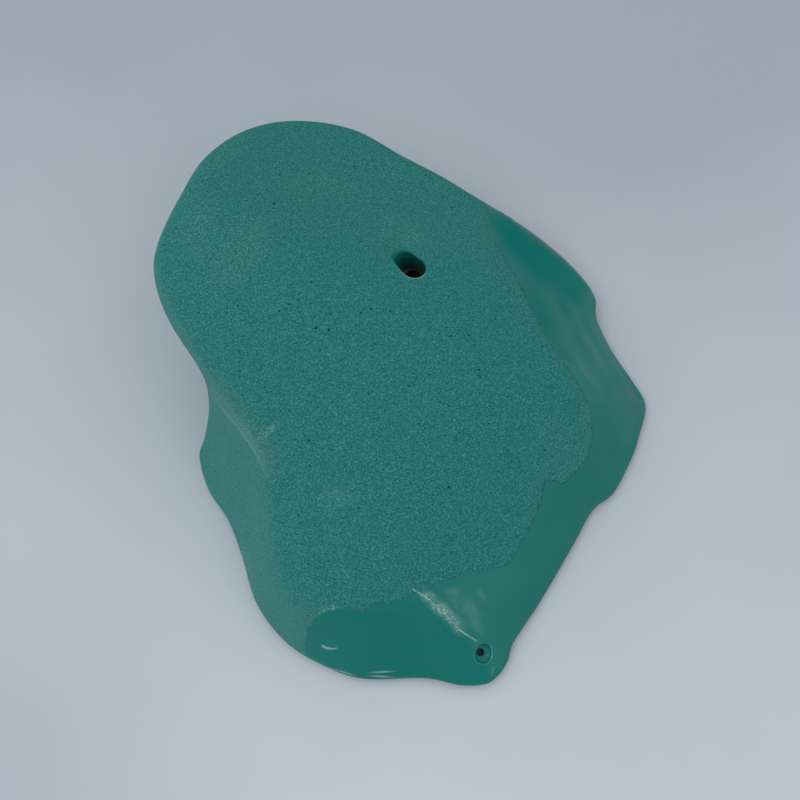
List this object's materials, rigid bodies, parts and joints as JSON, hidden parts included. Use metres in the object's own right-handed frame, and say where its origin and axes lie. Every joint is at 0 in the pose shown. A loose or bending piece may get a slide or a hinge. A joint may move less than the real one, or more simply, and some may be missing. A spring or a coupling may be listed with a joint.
{
  "type": "climbing hold",
  "caption": "Freeform climbing hold: rough sloping face, smooth glossy flanks, hollow ribbed back, counterbored bolt hole with a trapped washer, and a screw hole.",
  "frame": {"origin": "middle of the footprint's bounding box, on the plane of the flat back that lies against the wall", "axes": "+Z away from the wall, out of the climber's side; +Y along the hold's length towards the tall nose; +X across it towards the low smooth edge"},
  "size_m": [0.3278, 0.3708, 0.1056],
  "materials": {
    "polyurethane": "teal green cast polyurethane, sand-textured on the face and glossy on the flanks",
    "zinc_steel": "zinc plated",
    "screw_washer_steel": "bright steel"
  },
  "bodies": {
    "root": {"grip_body": "polyurethane", "bolt_washer": "zinc_steel", "screw_washer": "screw_washer_steel"}
  },
  "joints": []
}
